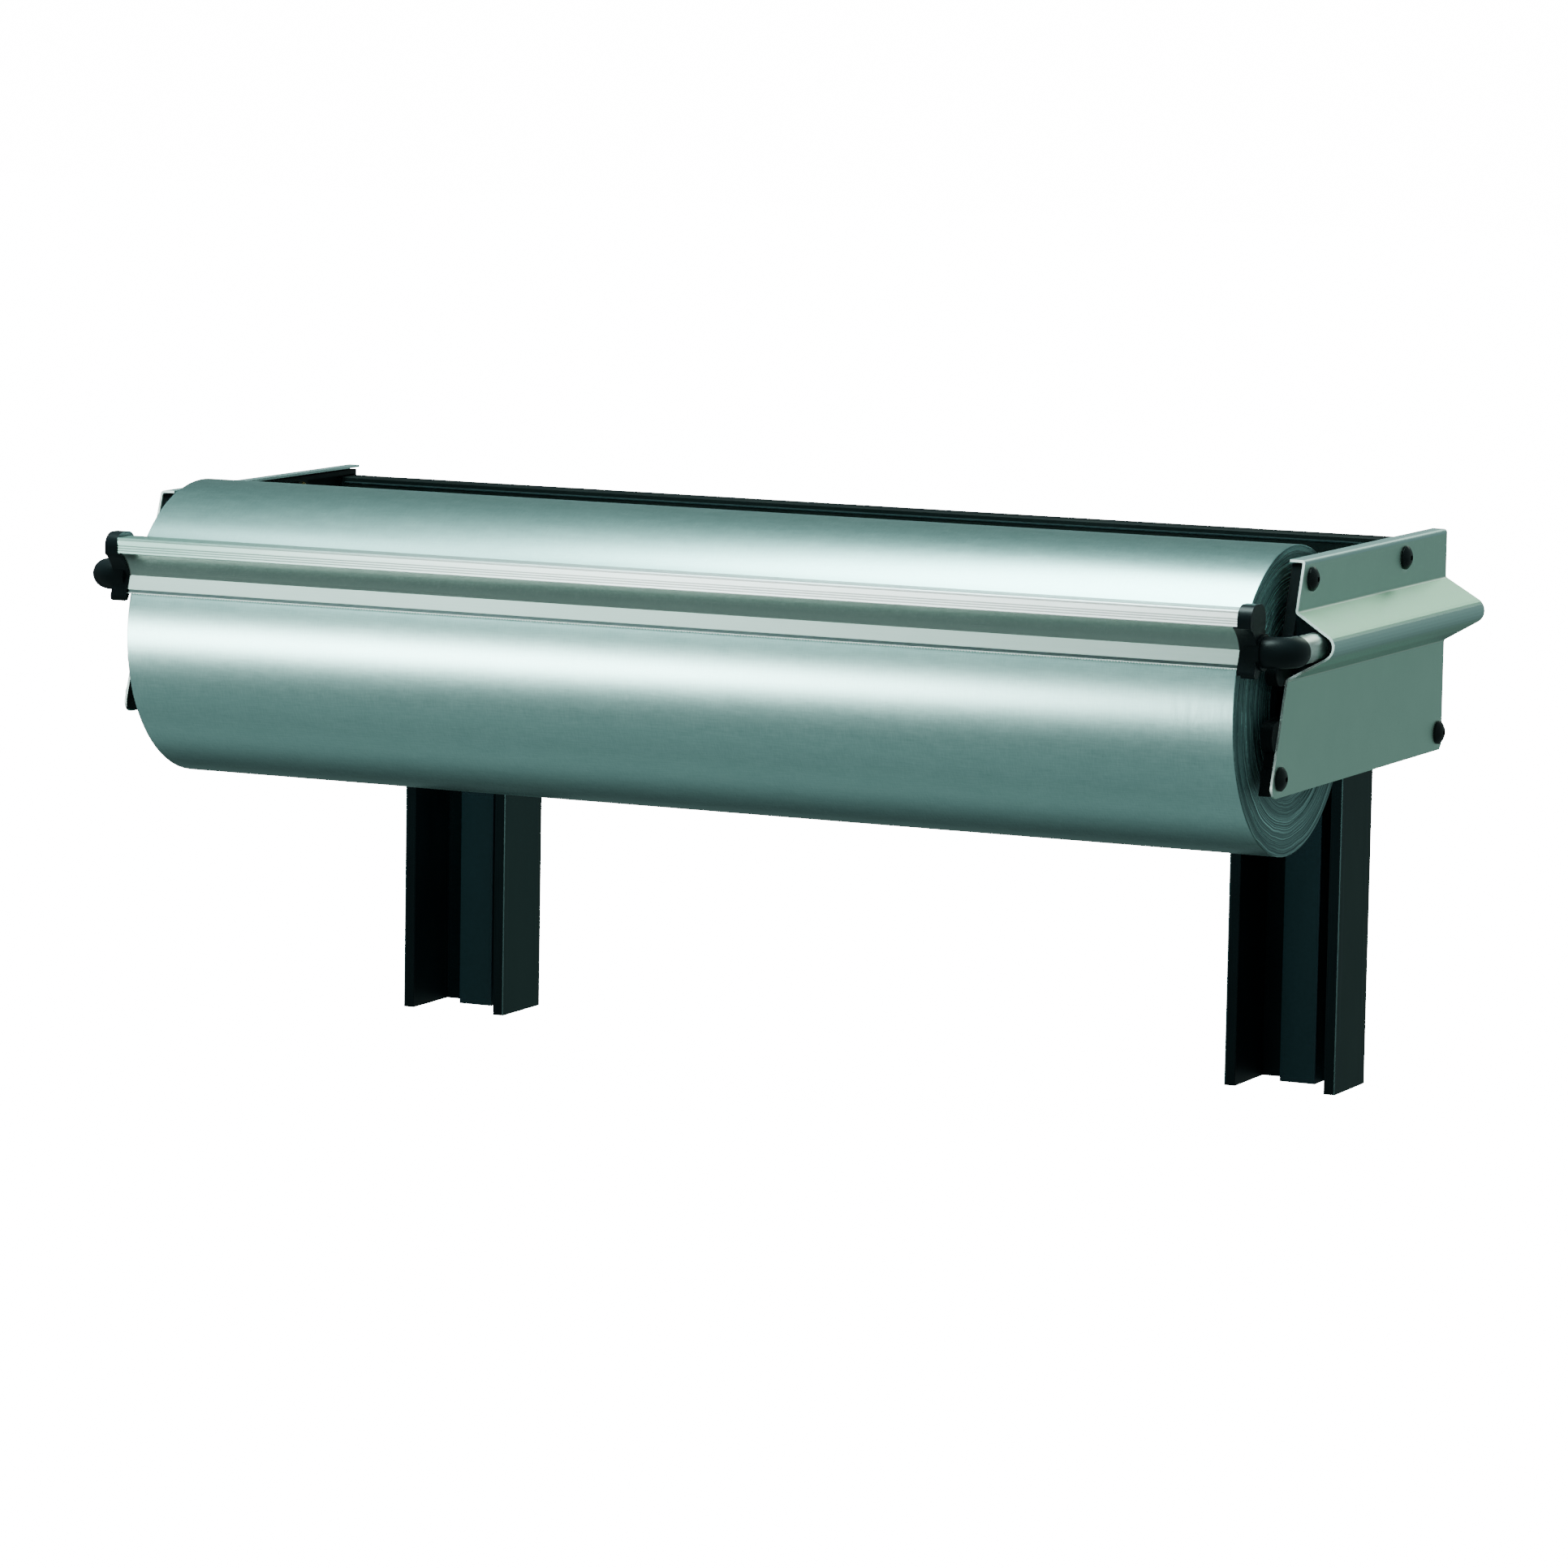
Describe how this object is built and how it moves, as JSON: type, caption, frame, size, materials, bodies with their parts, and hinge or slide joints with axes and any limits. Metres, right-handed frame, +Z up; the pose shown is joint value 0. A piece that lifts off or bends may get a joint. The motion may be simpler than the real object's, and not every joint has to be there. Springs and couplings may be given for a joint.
{
  "type": "gift wrap paper cutter",
  "caption": "Counter dispenser for a roll of gift wrap, carried between silver cheeks on a rear beam and posts, with a spring-loaded toothed tear-off bar.",
  "frame": {"origin": "centre of the four fixing holes, on the rear faces of the two posts", "axes": "+X along the paper roll to the right hand of a person who stands in front, +Y to the rear, +Z up"},
  "size_m": [1.1138, 0.4735, 0.4899],
  "materials": {
    "post_black": "satin black powder coat",
    "bracket_black": "satin black powder coat",
    "beam_black": "satin black",
    "zinc_steel": "zinc plated",
    "black_screw": "black oxide",
    "yellow_nut": "yellow passivated",
    "plate_plastic": "moulded, fine grain",
    "cheek_sheet": "satin silver",
    "nylon": "natural nylon",
    "black_plastic": "satin black",
    "spring_wire": "bright wire",
    "wrap_paper": "metallised silver gift wrap",
    "core_card": "wound card",
    "axle_steel": "bright drawn",
    "bar_aluminium": "satin anodised silver",
    "blade_steel": "bright steel",
    "arm_steel": "satin plated tube"
  },
  "bodies": {
    "frame": {"left_post": "post_black", "right_post": "post_black", "left_post_bracket": "bracket_black", "right_post_bracket": "bracket_black", "left_bracket_screws": "zinc_steel", "right_bracket_screws": "zinc_steel", "left_slot_nuts": "zinc_steel", "right_slot_nuts": "zinc_steel", "rear_beam": "beam_black", "left_beam_screws": "zinc_steel", "right_beam_screws": "zinc_steel", "left_side_plate": "plate_plastic", "right_side_plate": "plate_plastic", "left_cheek": "cheek_sheet", "right_cheek": "cheek_sheet", "left_cheek_screws": "black_screw", "right_cheek_screws": "black_screw", "left_cheek_nuts": "yellow_nut", "right_cheek_nuts": "yellow_nut", "left_axle_saddle": "nylon", "right_axle_saddle": "nylon", "left_front_bush": "black_plastic", "right_front_bush": "black_plastic", "left_rear_bush": "black_plastic", "right_rear_bush": "black_plastic", "left_spring_anchor": "zinc_steel", "right_spring_anchor": "zinc_steel", "left_spring": "spring_wire", "right_spring": "spring_wire"},
    "roll": {"paper_roll": "wrap_paper", "core_tube": "core_card", "axle_rod": "axle_steel", "left_core_plug": "black_plastic", "right_core_plug": "black_plastic"},
    "cutter": {"cutter_bar": "bar_aluminium", "blade": "blade_steel", "left_end_cap": "black_plastic", "right_end_cap": "black_plastic", "left_arm": "arm_steel", "right_arm": "arm_steel", "left_arm_sleeve": "black_plastic", "right_arm_sleeve": "black_plastic", "left_arm_plug": "zinc_steel", "right_arm_plug": "zinc_steel", "left_plug_pin": "zinc_steel", "right_plug_pin": "zinc_steel"}
  },
  "joints": [
    {"name": "roll_spin", "type": "hinge", "parent": "frame", "child": "roll", "pos_m": [0, -0.339, 0.305], "axis": [1, 0, 0], "continuous": true},
    {"name": "bar_slide", "type": "slide", "parent": "frame", "child": "cutter", "axis": [0, -1, 0], "range_m": [0, 0.06], "stiffness_N_per_m": 300, "springref_m": -0.05, "deforming": ["left_spring", "right_spring"]}
  ]
}
